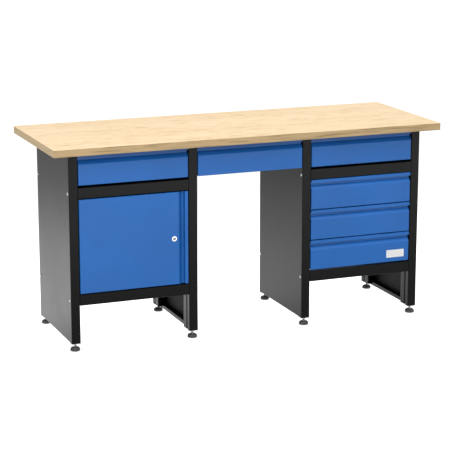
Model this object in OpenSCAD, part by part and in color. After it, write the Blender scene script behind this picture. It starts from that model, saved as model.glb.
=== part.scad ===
// Workbench with two pedestals: a drawer over a cupboard at the left, a drawer over the knee space
// and four drawers at the right. Folded steel sheet under a plywood top, on eight levelling feet.
// +Z is up, +X to the right and -Y towards the user. The origin is on the floor under the middle
// of the worktop. Sizes are in millimetres.

/* [Overall] */
// Length of the worktop
bench_w = 1700; // [1400:10:2200]
// Depth of the worktop
bench_d = 600; // [500:10:800]
// Height of the working surface above the floor
bench_h = 840; // [700:5:1100]
// Thickness of the worktop
top_t = 30; // [20:1:50]
// How far the worktop reaches past the frame at each end
side_overhang = 72; // [20:1:120]
// How far the worktop reaches past the frame at the front
front_overhang = 50; // [20:1:80]
// How far the worktop reaches past the frame at the back
rear_overhang = 90; // [10:1:110]

/* [Frame] */
// Face width of a post
post_w = 38; // [32:1:50]
// Depth of a post and of a front rail
post_d = 28; // [26:1:40]
// Thickness of the frame's sheet
frame_t = 1.5; // [1.2:0.1:2.5]
// Height of a front rail
rail_h = 45; // [35:1:54]
// Width of the lip inside a post
lip_w = 10; // [6:1:14]
// Width of the flanges at the top and bottom of a side panel
flange_w = 25; // [20:1:30]
// Height of the lip along a side panel's bottom flange
flange_lip = 15; // [6:1:22]
// Width of an upright bracket's face
upright_w = 38; // [30:1:50]
// Gap between a front post and the upright bracket behind it
upright_gap = 6; // [5:0.5:12]
// Length of a slide that bears on the rear upright bracket
slide_bearing = 30; // [20:1:38]
// Height of the cross beam at the back of the knee space
beam_h = 80; // [60:5:120]
// Height of the cupboard shelf above the cupboard floor
shelf_rise = 186; // [120:1:240]

/* [Fronts] */
// Height of a drawer front
front_h = 126; // [108:1:152]
// Depth of a front, from its face to the back of its folds
front_d = 18; // [17:1:24]
// Thickness of the sheet of fronts, door and drawer boxes
front_t = 1.2; // [0.8:0.1:1.5]
// Width of the folded lips behind a front's edges
front_lip = 20; // [12:1:24]
// Gap above each front
front_gap = 4; // [3:0.5:6]
// Height by which the drawers sit above the middle of their openings
front_rise = 2; // [0:0.5:2.5]
// Gap under the top row of drawer fronts
shadow_gap = 7; // [4:0.5:12]
// Gap beside each front
side_gap = 3; // [3:0.5:5]
// Height of the lip in front of the finger groove
groove_lip = 14; // [10:1:18]
// Height from the top of the lip down to the bottom of the groove
groove_h = 40; // [34:1:48]
// Height of the groove's flat back wall, measured from the top
groove_flat = 25; // [20:1:30]
// Depth of the finger groove
groove_d = 14; // [11:1:16]

/* [Drawers] */
// Height of a drawer box
tray_h = 90; // [60:1:94]
// Height of the box's underside above the bottom edge of its front
tray_lift = 10; // [6:1:14]
// Width taken by a slide on each side of a drawer
slide_w = 12.7; // [12:0.1:16]
// Height of a slide's outer rail
slide_h = 35; // [30:1:45]
// Height of a slide's inner runner
runner_h = 24; // [18:1:26]
// Step between the lengths in which slides are made
slide_step = 50; // [25:25:50]

/* [Door] */
// Distance of a hinge pin's axis from the door's edge and from its face
hinge_inset = 6; // [6:0.25:7]
// Radius of a hinge pin
hinge_r = 3; // [2.5:0.25:3.5]
// Distance of the lock's axis from the door's free edge
lock_inset = 61; // [56:1:70]
// Radius of the lock's barrel
lock_r = 9; // [8:0.5:10]

/* [Feet] */
// Radius of a foot's pad
pad_r = 20; // [16:1:25]
// Height of a foot's pad
pad_h = 16; // [12:1:24]
// Gap between a pad and the post above it
foot_gap = 16; // [12:1:22]
// Distance of a foot's axis from the outer faces of its post
foot_inset = 19; // [15:0.5:20]
// Radius of a foot's stud
stud_r = 5; // [4:0.5:6]
// Length of a foot's stud above the floor
stud_l = 68; // [60:1:90]

/* [Fasteners] */
// Radius of a frame bolt's shank
bolt_r = 3; // [2.5:0.25:4]
// Radius of a frame bolt's head
head_r = 6.5; // [5.5:0.25:8]
// Height of a frame bolt's head
head_h = 3.5; // [3:0.25:5]
// Radius of a worktop screw's shank
screw_r = 2.4; // [2:0.1:2.8]

/* [Label] */
// Width of the plain label
label_w = 83; // [60:1:120]
// Height of the plain label
label_h = 33; // [20:1:40]

/* [Clearances] */
// Radial clearance of a bolt or stud in its hole
bolt_play = 0.25; // [0.1:0.05:0.5]
// Radial clearance of a pin, plug or nut that turns on another piece
pin_play = 0.1; // [0.05:0.01:0.1]
// Clearance between pieces that stand next to each other
fit_play = 0.5; // [0.2:0.1:1]

/* [Hidden] */
$fn = 48;
UNDER_RAIL = 3;
PAN_FOLD = 20;
BACK_FOLD = 25;
NUT_H = 5;
FOOT_NUT_H = 6;
FOOT_PLATE_T = 3;
PAD_FOOT_H = 6;
CLIP_R = 2.5;
CLIP_IN = 4;
CLIP_OUT = 10;
SCREW_HEAD_H = 2.5;
PIN_HEAD_H = 3;
PLUG_END_R = 3.5;
BEZEL_T = 2.5;
LOCK_NUT_T = 4;
CAM_T = 2.5;
CAM_W = 14;
LABEL_T = 0.4;
LABEL_X = 23;
LABEL_Z = 19;

// Radii of heads, nuts and collars, from what they go on or in
nut_r = bolt_r + 2.8;
foot_nut_r = stud_r + 4.5;
screw_head_r = screw_r + 2.6;
collar_r = hinge_r + 2.5;
pin_head_r = hinge_inset - front_t - 3 * pin_play;
plug_r = lock_r - 3;
bezel_r = lock_r + 2;
lock_nut_r = lock_r + 4;

// Levels, from the floor up
leg_z = pad_h + foot_gap;
under_z = bench_h - top_t;
top_row_z = under_z - front_gap - front_h;
upper_rail_z = top_row_z - shadow_gap - rail_h;
lower_rail_z = upper_rail_z - front_gap - UNDER_RAIL * (front_h + front_gap) - rail_h;
floor_z = lower_rail_z + rail_h;
floor_fold = rail_h / 2 - nut_r - fit_play;
door_z = floor_z + front_gap;
door_h = UNDER_RAIL * front_h + (UNDER_RAIL - 1) * front_gap;
lock_z = door_z + door_h / 2;
shelf_z = floor_z + shelf_rise;
clip_z = shelf_z - PAN_FOLD - CLIP_R;
beam_z = under_z - frame_t - fit_play - beam_h;
bolt_zs = [lower_rail_z + rail_h / 2, upper_rail_z + rail_h / 2];
beam_zs = [beam_z + beam_h / 4, beam_z + 3 * beam_h / 4];

// Distances across the bench
outer_x = bench_w / 2 - side_overhang;
bay_w = (2 * outer_x - 4 * post_w) / 3;
knee_x = bay_w / 2;
bay_x = (outer_x + knee_x) / 2;
front_w = bay_w - 2 * side_gap;
tray_w = bay_w - 2 * slide_w;
pan_w = bay_w - 2 * frame_t - 2 * fit_play;
door_x = -bay_x - front_w / 2;
pin_x = door_x + hinge_inset;
lock_x = door_x + front_w - lock_inset;
screw_x = flange_w / 2 + 1;
bolt_l = post_w + 2 * frame_t + NUT_H + 1;
screw_l = top_t - 6;
cam_reach = lock_inset + side_gap + lip_w;

// Distances from front to back
face_y = -bench_d / 2 + front_overhang;
rear_y = bench_d / 2 - rear_overhang;
box_y = face_y + front_d;
pin_y = face_y + hinge_inset;
cam_y = face_y + post_d + (upright_gap - CAM_T) / 2;
slide_room = rear_y - post_d - fit_play - (upright_w - slide_bearing) - box_y;
slide_l = slide_step * floor(slide_room / slide_step);
bolt_ys = [face_y + post_d / 2, rear_y - post_d / 2];
foot_ys = [face_y + foot_inset, rear_y - foot_inset];
upright_ys = [face_y + post_d + upright_gap, box_y + slide_l - slide_bearing];
flange_ys = [upright_ys[0] + upright_w, upright_ys[1]];
screw_ys = [for (k = [1 : 3]) flange_ys[0] + k * (flange_ys[1] - flange_ys[0]) / 4];

// Each drawer: its name, the middle of its bay, and its row counted from the top
DRAWERS = [
    ["left", -bay_x, 0],
    ["centre", 0, 0],
    ["right_1", bay_x, 0],
    ["right_2", bay_x, 1],
    ["right_3", bay_x, 2],
    ["right_4", bay_x, 3]
];
// Each side panel: its name, its outer face, and the side of it on which its posts lie
PANELS = [
    ["left_outer", -outer_x, 1],
    ["left_inner", -knee_x, -1],
    ["right_inner", knee_x, 1],
    ["right_outer", outer_x, -1]
];
FOOT_ENDS = ["front", "rear"];

// ---- Helpers --------------------------------------------------------------------------------

// The bottom edge of a drawer front, by its row
function row_z(row) =
    front_rise + (row == 0 ? top_row_z : upper_rail_z - row * (front_h + front_gap));

// The unit vector to the right of the step from point i of a path to the next
function right_of(p, i) = let (v = (p[i + 1] - p[i]) / norm(p[i + 1] - p[i])) [v[1], -v[0]];

// Point i of a path, moved by t to the right of the way the path runs, mitred at the bends
function moved(p, i, t) =
    i == 0 ? p[0] + t * right_of(p, 0) :
    i == len(p) - 1 ? p[i] + t * right_of(p, i - 1) :
    let (a = right_of(p, i - 1), b = right_of(p, i)) p[i] + t * (a + b) / (1 + a * b);

// The section of a sheet of thickness t, folded along a path that is its left-hand face
module folded(p, t) {
    polygon(concat(p, [for (i = [len(p) - 1 : -1 : 0]) moved(p, i, t)]));
}

// Extrudes a section drawn in (y, z) along +x
module along_x(l) {
    rotate([90, 0, 90])
        linear_extrude(l)
            children();
}

// Extrudes a section drawn in (x, z) along +y
module along_y(l) {
    translate([0, l, 0])
        rotate([90, 0, 0])
            linear_extrude(l)
                children();
}

// A round bar along +x
module rod_x(r, l) {
    rotate([0, 90, 0])
        cylinder(h = l, r = r);
}

// A round bar along +y
module rod_y(r, l) {
    rotate([-90, 0, 0])
        cylinder(h = l, r = r);
}

// A sheet pan open underneath, its top face at z = 0, with a fold on all four sides
module pan(w, d, fold, t) {
    difference() {
        translate([0, 0, -fold])
            cube([w, d, fold]);
        translate([t, t, -fold - t])
            cube([w - 2 * t, d - 2 * t, fold]);
    }
}

// Draws its children at a side panel, with x measured inwards from the panel's outer face
module at_panel(p) {
    translate([p[1], 0, 0])
        mirror([p[2] < 0 ? 1 : 0, 0, 0])
            children();
}

// Draws its children at each bolt that holds a rail or a back sheet, with x along the bolt
module at_pedestal_bolts() {
    for (p = PANELS, y = bolt_ys, z = bolt_zs)
        at_panel(p)
            translate([0, y, z])
                children();
}

// Draws its children at each bolt that holds the cross beam, with x along the bolt
module at_beam_bolts() {
    for (s = [0, 1], z = beam_zs)
        mirror([s, 0, 0])
            translate([knee_x + post_w + frame_t, bolt_ys[1], z])
                mirror([1, 0, 0])
                    children();
}

module bolt_hole(l) {
    translate([-1, 0, 0])
        rod_x(bolt_r + bolt_play, l + 2);
}

// ---- Worktop --------------------------------------------------------------------------------

module worktop() {
    color("burlywood")
        difference() {
            translate([-bench_w / 2, -bench_d / 2, under_z])
                cube([bench_w, bench_d, top_t]);
            for (p = PANELS, y = screw_ys)
                at_panel(p)
                    translate([screw_x, y, under_z - frame_t])
                        cylinder(h = screw_l + fit_play, r = screw_r + pin_play);
        }
}

module worktop_screws() {
    color("silver")
        for (p = PANELS, y = screw_ys)
            at_panel(p)
                translate([screw_x, y, under_z - frame_t]) {
                    translate([0, 0, -SCREW_HEAD_H])
                        cylinder(h = SCREW_HEAD_H, r = screw_head_r);
                    cylinder(h = screw_l, r = screw_r);
                }
}

// ---- Frame ----------------------------------------------------------------------------------

// A side panel: its web, the posts folded along both edges, the flanges at its top and bottom,
// a lip on the bottom flange between the uprights, and a plate welded into each post for the foot
module side_panel(p) {
    color("#26262a")
        at_panel(p)
            difference() {
                union() {
                    translate([0, 0, leg_z])
                        linear_extrude(under_z - leg_z)
                            folded([
                                [post_w - lip_w, face_y + post_d],
                                [post_w, face_y + post_d],
                                [post_w, face_y],
                                [0, face_y],
                                [0, rear_y],
                                [post_w, rear_y],
                                [post_w, rear_y - post_d],
                                [post_w - lip_w, rear_y - post_d]
                            ], frame_t);
                    for (z = [leg_z, under_z - frame_t])
                        translate([0, face_y + post_d + fit_play, z])
                            cube([flange_w, rear_y - face_y - 2 * post_d - 2 * fit_play, frame_t]);
                    translate([flange_w - frame_t, flange_ys[0] + fit_play, leg_z])
                        cube([frame_t, flange_ys[1] - flange_ys[0] - 2 * fit_play, flange_lip]);
                    for (y = [face_y, rear_y - post_d])
                        translate([0, y, leg_z])
                            cube([post_w, post_d, FOOT_PLATE_T]);
                }
                for (y = foot_ys)
                    translate([foot_inset, y, leg_z - 1])
                        cylinder(h = FOOT_PLATE_T + 2, r = stud_r + bolt_play);
                for (y = screw_ys)
                    translate([screw_x, y, under_z - frame_t - 1])
                        cylinder(h = frame_t + 2, r = screw_r + bolt_play);
                for (y = bolt_ys, z = bolt_zs)
                    translate([0, y, z])
                        bolt_hole(post_w);
                if (abs(p[1]) < outer_x)
                    for (z = beam_zs)
                        translate([0, bolt_ys[1], z])
                            bolt_hole(post_w);
            }
}

// A front rail: a channel open to the back, closed by a tab at each end
module front_rail(x, z) {
    color("#222226")
        difference() {
            translate([x - bay_w / 2, face_y, z])
                difference() {
                    cube([bay_w, post_d, rail_h]);
                    translate([frame_t, frame_t, frame_t])
                        cube([bay_w - 2 * frame_t, post_d, rail_h - 2 * frame_t]);
                }
            translate([x - bay_w / 2, bolt_ys[0], z + rail_h / 2])
                bolt_hole(bay_w);
        }
}

// A front rail of the cupboard, with the hole for a hinge pin in its flange at hole_z
module cupboard_rail(z, hole_z) {
    color("#222226")
        difference() {
            front_rail(-bay_x, z);
            translate([pin_x, pin_y, hole_z - 1])
                cylinder(h = frame_t + 2, r = hinge_r + pin_play);
        }
}

// The back sheet of a pedestal, folded forwards on all sides. Beam bolts pass its inner fold.
module back_panel(side) {
    h = under_z - frame_t - fit_play - lower_rail_z;
    color("#2a2a2e")
        difference() {
            translate([side * bay_x - bay_w / 2, rear_y - BACK_FOLD, lower_rail_z])
                difference() {
                    cube([bay_w, BACK_FOLD, h]);
                    translate([frame_t, -frame_t, frame_t])
                        cube([bay_w - 2 * frame_t, BACK_FOLD, h - 2 * frame_t]);
                }
            for (z = bolt_zs)
                translate([side * bay_x - bay_w / 2, bolt_ys[1], z])
                    bolt_hole(bay_w);
            at_beam_bolts()
                bolt_hole(frame_t);
        }
}

// The beam between the pedestals: a channel open to the front, closed by a tab at each end
module rear_beam() {
    color("#26262a")
        difference() {
            translate([-knee_x, rear_y - post_d, beam_z])
                difference() {
                    cube([bay_w, post_d, beam_h]);
                    translate([frame_t, -frame_t, frame_t])
                        cube([bay_w - 2 * frame_t, post_d, beam_h - 2 * frame_t]);
                }
            for (z = beam_zs)
                translate([-knee_x, bolt_ys[1], z])
                    bolt_hole(bay_w);
        }
}

// The four upright brackets of a pedestal: channels open towards the side panels
module uprights(panels, with_clips) {
    color("#303034")
        for (p = panels, y = upright_ys)
            at_panel(p)
                difference() {
                    translate([0, y, leg_z + frame_t])
                        linear_extrude(under_z - leg_z - 2 * frame_t - fit_play)
                            folded([
                                [frame_t, upright_w],
                                [post_w, upright_w],
                                [post_w, 0],
                                [frame_t, 0]
                            ], frame_t);
                    if (with_clips)
                        translate([post_w - CLIP_IN, y + upright_w / 2, clip_z])
                            rod_x(CLIP_R + pin_play, CLIP_IN + 1);
                }
}

module frame_bolt() {
    translate([-head_h, 0, 0])
        rod_x(head_r, head_h);
    rod_x(bolt_r, bolt_l);
}

// A hex nut on a frame bolt, that many millimetres from the bolt's head
module frame_nut(x) {
    translate([x, 0, 0])
        rotate([0, 90, 0])
            difference() {
                cylinder(h = NUT_H, r = nut_r, $fn = 6);
                translate([0, 0, -1])
                    cylinder(h = NUT_H + 2, r = bolt_r + pin_play);
            }
}

module frame_bolts() {
    color("silver") {
        at_pedestal_bolts()
            frame_bolt();
        at_beam_bolts()
            frame_bolt();
    }
}

module frame_nuts() {
    color("silver") {
        at_pedestal_bolts()
            frame_nut(post_w + frame_t);
        at_beam_bolts()
            frame_nut(post_w + 2 * frame_t);
    }
}

// ---- Cupboard inside ------------------------------------------------------------------------

module cabinet_floor() {
    color("#303034")
        translate([-bay_x - pan_w / 2, face_y + post_d, floor_z])
            pan(pan_w, rear_y - frame_t - face_y - post_d, floor_fold, front_t);
}

module cabinet_shelf() {
    shelf_y = upright_ys[0] + upright_gap;
    color("#303034")
        translate([-bay_x - pan_w / 2, shelf_y, shelf_z])
            pan(pan_w, rear_y - frame_t - fit_play - shelf_y, PAN_FOLD, front_t);
}

module shelf_clips() {
    color("silver")
        for (p = [PANELS[0], PANELS[1]], y = upright_ys)
            at_panel(p)
                translate([post_w - CLIP_IN, y + upright_w / 2, clip_z])
                    rod_x(CLIP_R, CLIP_IN + CLIP_OUT);
}

// ---- Drawers --------------------------------------------------------------------------------

// Draws its children at both sides of a drawer's bay, with x measured inwards from the bay's wall
module at_both_sides(d) {
    for (s = [0, 1])
        translate([d[1], box_y, row_z(d[2]) + tray_lift + tray_h / 2])
            mirror([s, 0, 0])
                translate([-bay_w / 2, 0, 0])
                    children();
}

module slide_rails(d) {
    rail_depth = slide_w - 2 * front_t;
    color("silver")
        at_both_sides(d)
            along_y(slide_l)
                folded([
                    [rail_depth, -slide_h / 2],
                    [0, -slide_h / 2],
                    [0, slide_h / 2],
                    [rail_depth, slide_h / 2]
                ], front_t);
}

module drawer_runners(d) {
    color("silver")
        at_both_sides(d)
            along_y(slide_l)
                folded([
                    [2 * front_t, runner_h / 2],
                    [slide_w, runner_h / 2],
                    [slide_w, -runner_h / 2],
                    [2 * front_t, -runner_h / 2]
                ], front_t);
}

module drawer_tray(d) {
    color("royalblue")
        translate([d[1] - tray_w / 2, box_y, row_z(d[2]) + tray_lift])
            difference() {
                cube([tray_w, slide_l, tray_h]);
                translate([front_t, front_t, front_t])
                    cube([tray_w - 2 * front_t, slide_l - 2 * front_t, tray_h]);
            }
}

// A front w wide and h high, its face at y = 0 and its finger groove along the top. The lip at
// the top hangs in front of the groove, and the other three edges are folded back twice.
module front_shell(w, h) {
    along_x(w)
        folded([
            [0, h - groove_lip],
            [0, h],
            [groove_d, h],
            [groove_d, h - groove_flat],
            [front_t, h - groove_h],
            [front_t, front_t],
            [front_d - front_t, front_t],
            [front_d - front_t, front_lip]
        ], front_t);
    for (s = [0, 1]) {
        translate([s * (w - front_t), 0, 0])
            cube([front_t, front_d, h - groove_h]);
        translate([s * (w - front_lip), front_d - front_t, 0])
            cube([front_lip, front_t, h - groove_h]);
    }
}

module drawer_front(d) {
    color("royalblue")
        translate([d[1] - front_w / 2, face_y, row_z(d[2])])
            front_shell(front_w, front_h);
}

module label() {
    color("white")
        translate([bay_x + front_w / 2 - LABEL_X - label_w, face_y - LABEL_T, row_z(3) + LABEL_Z])
            cube([label_w, LABEL_T, label_h]);
}

// ---- Door and lock --------------------------------------------------------------------------

// Draws its children at the lock, with y measured inwards from the door's face
module at_lock() {
    translate([lock_x, face_y, lock_z])
        children();
}

// The door: a front turned so that its finger groove stands along the free edge
module door() {
    color("royalblue")
        difference() {
            translate([door_x, face_y, door_z])
                mirror([1, 0, -1])
                    front_shell(door_h, front_w);
            translate([pin_x, pin_y, door_z - 1])
                cylinder(h = door_h + 2, r = hinge_r);
            at_lock()
                translate([0, -1, 0])
                    rod_y(lock_r + pin_play, front_t + 2);
        }
}

// Each pin is headed inside the door's fold, has a collar in the gap, and turns in the rail
module hinge_pins() {
    color("silver")
        for (s = [0, 1])
            translate([pin_x, pin_y, door_z + door_h / 2])
                mirror([0, 0, s])
                    translate([0, 0, door_h / 2]) {
                        translate([0, 0, -front_t - PIN_HEAD_H])
                            cylinder(h = PIN_HEAD_H, r = pin_head_r);
                        translate([0, 0, -front_t])
                            cylinder(h = front_t + front_gap + frame_t + 3, r = hinge_r);
                        cylinder(h = front_gap - pin_play, r = collar_r);
                    }
}

module lock_barrel() {
    barrel_l = cam_y - face_y - pin_play;
    color("silver")
        at_lock()
            difference() {
                union() {
                    translate([0, -BEZEL_T, 0])
                        rod_y(bezel_r, BEZEL_T);
                    rod_y(lock_r, barrel_l);
                }
                translate([0, -BEZEL_T - 1, 0])
                    rod_y(plug_r + pin_play, BEZEL_T + barrel_l + 2);
            }
}

module lock_nut() {
    color("silver")
        at_lock()
            translate([0, front_t, 0])
                rotate([-90, 0, 0])
                    difference() {
                        cylinder(h = LOCK_NUT_T, r = lock_nut_r, $fn = 6);
                        translate([0, 0, -1])
                            cylinder(h = LOCK_NUT_T + 2, r = lock_r + pin_play);
                    }
}

// The plug turns in the barrel. Its end passes through the cam and is headed behind it.
module lock_plug() {
    plug_l = cam_y - face_y;
    color("silver")
        at_lock()
            difference() {
                union() {
                    translate([0, -BEZEL_T, 0])
                        rod_y(plug_r, BEZEL_T + plug_l);
                    rod_y(PLUG_END_R, plug_l + CAM_T);
                    translate([0, plug_l + CAM_T, 0])
                        rod_y(plug_r, 2);
                }
                translate([-0.8, -BEZEL_T - 1, -3.5])
                    cube([1.6, 7, 7]);
            }
}

// The cam hangs down while the lock is open, and turns a quarter turn behind the post's lip
module lock_cam() {
    color("silver")
        at_lock()
            translate([0, cam_y - face_y, 0])
                difference() {
                    union() {
                        rod_y(CAM_W / 2, CAM_T);
                        translate([-CAM_W / 2, 0, -cam_reach])
                            cube([CAM_W, CAM_T, cam_reach]);
                    }
                    translate([0, -1, 0])
                        rod_y(PLUG_END_R, CAM_T + 2);
                }
}

// ---- Feet -----------------------------------------------------------------------------------

// A levelling foot: a pad moulded onto its stud
module foot(p, y) {
    color("#3a3a3c")
        at_panel(p)
            translate([foot_inset, y, 0]) {
                cylinder(h = PAD_FOOT_H, r = pad_r);
                translate([0, 0, PAD_FOOT_H])
                    cylinder(h = pad_h - PAD_FOOT_H, r1 = pad_r, r2 = pad_r * 0.6);
                translate([0, 0, pad_h / 2])
                    cylinder(h = stud_l - pad_h / 2, r = stud_r);
            }
}

module foot_nuts() {
    color("silver")
        for (p = PANELS, y = foot_ys)
            at_panel(p)
                translate([foot_inset, y, leg_z - FOOT_NUT_H])
                    difference() {
                        cylinder(h = FOOT_NUT_H, r = foot_nut_r, $fn = 6);
                        translate([0, 0, -1])
                            cylinder(h = FOOT_NUT_H + 2, r = stud_r + bolt_play);
                    }
}

worktop();
worktop_screws();
for (p = PANELS)
    side_panel(p);
cupboard_rail(upper_rail_z, upper_rail_z);  // left_upper_rail
cupboard_rail(lower_rail_z, floor_z - frame_t);  // left_lower_rail
front_rail(bay_x, upper_rail_z);  // right_upper_rail
front_rail(bay_x, lower_rail_z);  // right_lower_rail
back_panel(-1);  // left_back_panel
back_panel(1);  // right_back_panel
rear_beam();
uprights([PANELS[0], PANELS[1]], true);  // left_uprights
uprights([PANELS[2], PANELS[3]], false);  // right_uprights
cabinet_floor();
cabinet_shelf();
shelf_clips();
frame_bolts();
frame_nuts();
for (d = DRAWERS) {
    slide_rails(d);
    drawer_front(d);
    drawer_tray(d);
    drawer_runners(d);
}
label();
door();
hinge_pins();
lock_barrel();
lock_nut();
lock_plug();
lock_cam();
for (p = PANELS, k = [0, 1])
    foot(p, foot_ys[k]);
foot_nuts();
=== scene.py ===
"""A steel workbench with a plywood top, drawers and a cupboard, built around its fixed frame."""

import math

import bmesh
import bpy
import numpy as np
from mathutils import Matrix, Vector


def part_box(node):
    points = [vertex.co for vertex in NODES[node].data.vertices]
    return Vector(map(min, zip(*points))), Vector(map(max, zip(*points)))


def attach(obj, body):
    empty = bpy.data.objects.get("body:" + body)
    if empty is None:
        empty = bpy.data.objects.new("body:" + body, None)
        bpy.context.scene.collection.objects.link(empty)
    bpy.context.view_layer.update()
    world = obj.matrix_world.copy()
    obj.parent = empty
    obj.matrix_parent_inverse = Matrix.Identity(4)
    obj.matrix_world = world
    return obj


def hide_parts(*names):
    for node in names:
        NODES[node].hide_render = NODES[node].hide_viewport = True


bl_info = {
    "name": "Workbench with drawers",
    "version": (1, 0, 0),
    "blender": (4, 5, 0),
    "location": "View3D > Sidebar > Workbench",
    "description": "Builds a two-pedestal steel workbench around its frame",
    "category": "Object",
}

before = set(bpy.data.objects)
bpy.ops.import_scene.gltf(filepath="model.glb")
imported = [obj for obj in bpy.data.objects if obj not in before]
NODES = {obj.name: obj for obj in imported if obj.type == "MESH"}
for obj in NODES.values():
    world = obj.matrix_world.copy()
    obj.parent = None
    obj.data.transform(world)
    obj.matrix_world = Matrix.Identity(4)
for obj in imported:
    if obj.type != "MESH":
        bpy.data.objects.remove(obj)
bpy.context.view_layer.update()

DRAWERS = ("left", "centre", "right_1", "right_2", "right_3", "right_4")
PANELS = ("left_outer", "left_inner", "right_inner", "right_outer")
FOOT_ENDS = ("front", "rear")
X, Y, Z = np.eye(3)
TAU = 2 * math.pi
LEAST_ROUND = 0.0002  # the smallest corner radius of a round rectangle
SEAM = 0.0005  # how far apart two sheets stand where one runs up to the other


# ---- Sizes and colours that a user would change -----------------------------------------------


def length(name, description, default):
    """A length property in metres."""
    return bpy.props.FloatProperty(
        name=name, description=description, default=default, min=0.0, unit="LENGTH", precision=4
    )


def colour(name, description, default):
    """A linear colour property."""
    return bpy.props.FloatVectorProperty(
        name=name, description=description, default=default, subtype="COLOR", size=3, min=0, max=1
    )


class BenchSizes(bpy.types.PropertyGroup):
    """Sizes of the folded sheet and of the small parts"""

    frame_gauge: length("Frame sheet", "Thickness of the frame's sheet", 0.0015)
    frame_bend: length("Frame bend", "Inner radius of the frame's bends", 0.0022)
    front_gauge: length("Front sheet", "Thickness of the sheet of fronts and trays", 0.0012)
    front_bend: length("Front bend", "Inner radius of the bends in fronts and trays", 0.0010)
    post_lip: length("Post lip", "Width of the lip inside a post", 0.010)
    panel_flange: length("Panel flange", "Width of a side panel's flanges", 0.025)
    post_fold: length("Post depth", "Depth of a side panel's posts", 0.028)
    pad_height: length("Pad height", "Height of a foot's pad", 0.016)
    flange_lip: length("Flange lip", "Height of the lip on a side panel's bottom flange", 0.015)
    foot_plate: length("Foot plate", "Thickness of the plate in the foot of a post", 0.003)
    front_lip: length("Front lip", "Width of the lips behind a front", 0.020)
    groove_lip: length("Groove lip", "Height of the lip in front of the finger groove", 0.014)
    groove_height: length("Groove height", "Height of the finger groove with its lip", 0.040)
    groove_flat: length("Groove flat", "Height of the groove's back wall", 0.025)
    groove_depth: length("Groove depth", "Depth of the finger groove", 0.014)
    tray_hem: length("Tray hem", "Width of the hem round a tray's rim", 0.003)
    board_round: length("Board edge", "Radius of the worktop's edges", 0.0016)
    thread_pitch: length("Thread pitch", "Pitch of a foot's thread", 0.0015)


class BenchColours(bpy.types.PropertyGroup):
    """Colours of the finishes"""

    blue: colour("Blue", "Powder coat of fronts and door", (0.0045, 0.134, 0.490))
    black: colour("Black", "Powder coat of the frame", (0.0045, 0.0045, 0.0047))
    veneer: colour("Veneer", "Face veneer of the worktop", (0.730, 0.560, 0.345))
    grain: colour("Grain", "Darker grain of the face veneer", (0.500, 0.310, 0.140))
    ply_light: colour("Light ply", "Long-grain plies on the worktop's edge", (0.600, 0.430, 0.225))
    ply_dark: colour("Dark ply", "End-grain plies on the worktop's edge", (0.500, 0.345, 0.170))
    zinc: colour("Zinc", "Plated bolts, nuts and slides", (0.560, 0.570, 0.590))
    chrome: colour("Chrome", "Bezel of the lock", (0.760, 0.770, 0.780))
    plug: colour("Plug", "Face of the lock's plug", (0.250, 0.260, 0.280))
    plastic: colour("Plastic", "Pads of the feet", (0.040, 0.040, 0.041))
    label: colour("Label", "Plain label", (0.960, 0.965, 0.970))
    floor: colour("Floor", "Studio floor", (0.800, 0.800, 0.800))


def sizes():
    """The scene's sizes."""
    return bpy.context.scene.bench_sizes


def colours():
    """The scene's colours."""
    return bpy.context.scene.bench_colours


# ---- Surfaces ---------------------------------------------------------------------------------


def directions(path):
    """The unit direction of each stretch of a 2D path, and its normal to the right."""
    step = np.diff(path, axis=0)
    along = step / np.linalg.norm(step, axis=1)[:, None]
    return along, np.stack([along[:, 1], -along[:, 0]], 1)


def bent_path(path, radius, steps=6):
    """Points and right-hand normals along a 2D path whose corners are arcs of the given radius.
    At a corner that turns by a, the arc starts radius * tan(a / 2) before it; its points are the
    arc's centre plus the radius times a direction that turns evenly from one normal to the next."""
    along, right = directions(path)
    points, normals = [path[:1]], [right[:1]]
    for corner, a, b, first in zip(path[1:-1], along, along[1:], right):
        turn = math.atan2(a[0] * b[1] - a[1] * b[0], a @ b)
        side = 1 if turn < 0 else -1
        centre = corner - a * radius * math.tan(abs(turn) / 2) + side * first * radius
        angle = math.atan2(first[1], first[0]) + np.linspace(0, turn, steps + 1)
        normal = np.stack([np.cos(angle), np.sin(angle)], 1)
        points.append(centre - side * radius * normal)
        normals.append(normal)
    return np.vstack(points + [path[-1:]]), np.vstack(normals + [right[-1:]])


def sheet_section(path, gauge, bend):
    """The closed outline of a bent sheet. The path is the sheet's left-hand face, with sharp
    corners; the middle line is that path moved right by half the gauge, its corners rounded by
    the bend radius plus half the gauge, and the two faces lie half a gauge to each side of it."""
    path = np.asarray(path, float)
    _, right = directions(path)
    mitre = right[:-1] + right[1:]
    mitre /= 1 + np.sum(right[:-1] * right[1:], 1)[:, None]
    shift = np.vstack([right[:1], mitre, right[-1:]])
    middle, normal = bent_path(path + shift * gauge / 2, bend + gauge / 2)
    return np.vstack([middle - normal * gauge / 2, (middle + normal * gauge / 2)[::-1]])


def place(points, origin, ex, ey, ez):
    """Local points carried to the row frame: origin + x ex + y ey + z ez."""
    return np.asarray(origin) + points @ np.stack([ex, ey, ez])


def extrude(section, start, end, origin, ex, ey, ez):
    """A closed outline in the local (x, y) plane, carried from start to end along local z."""
    count = len(section)
    rings = [np.column_stack([section, np.full(count, level)]) for level in (start, end)]
    return ring_loft(place(np.stack(rings), origin, ex, ey, ez))


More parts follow.
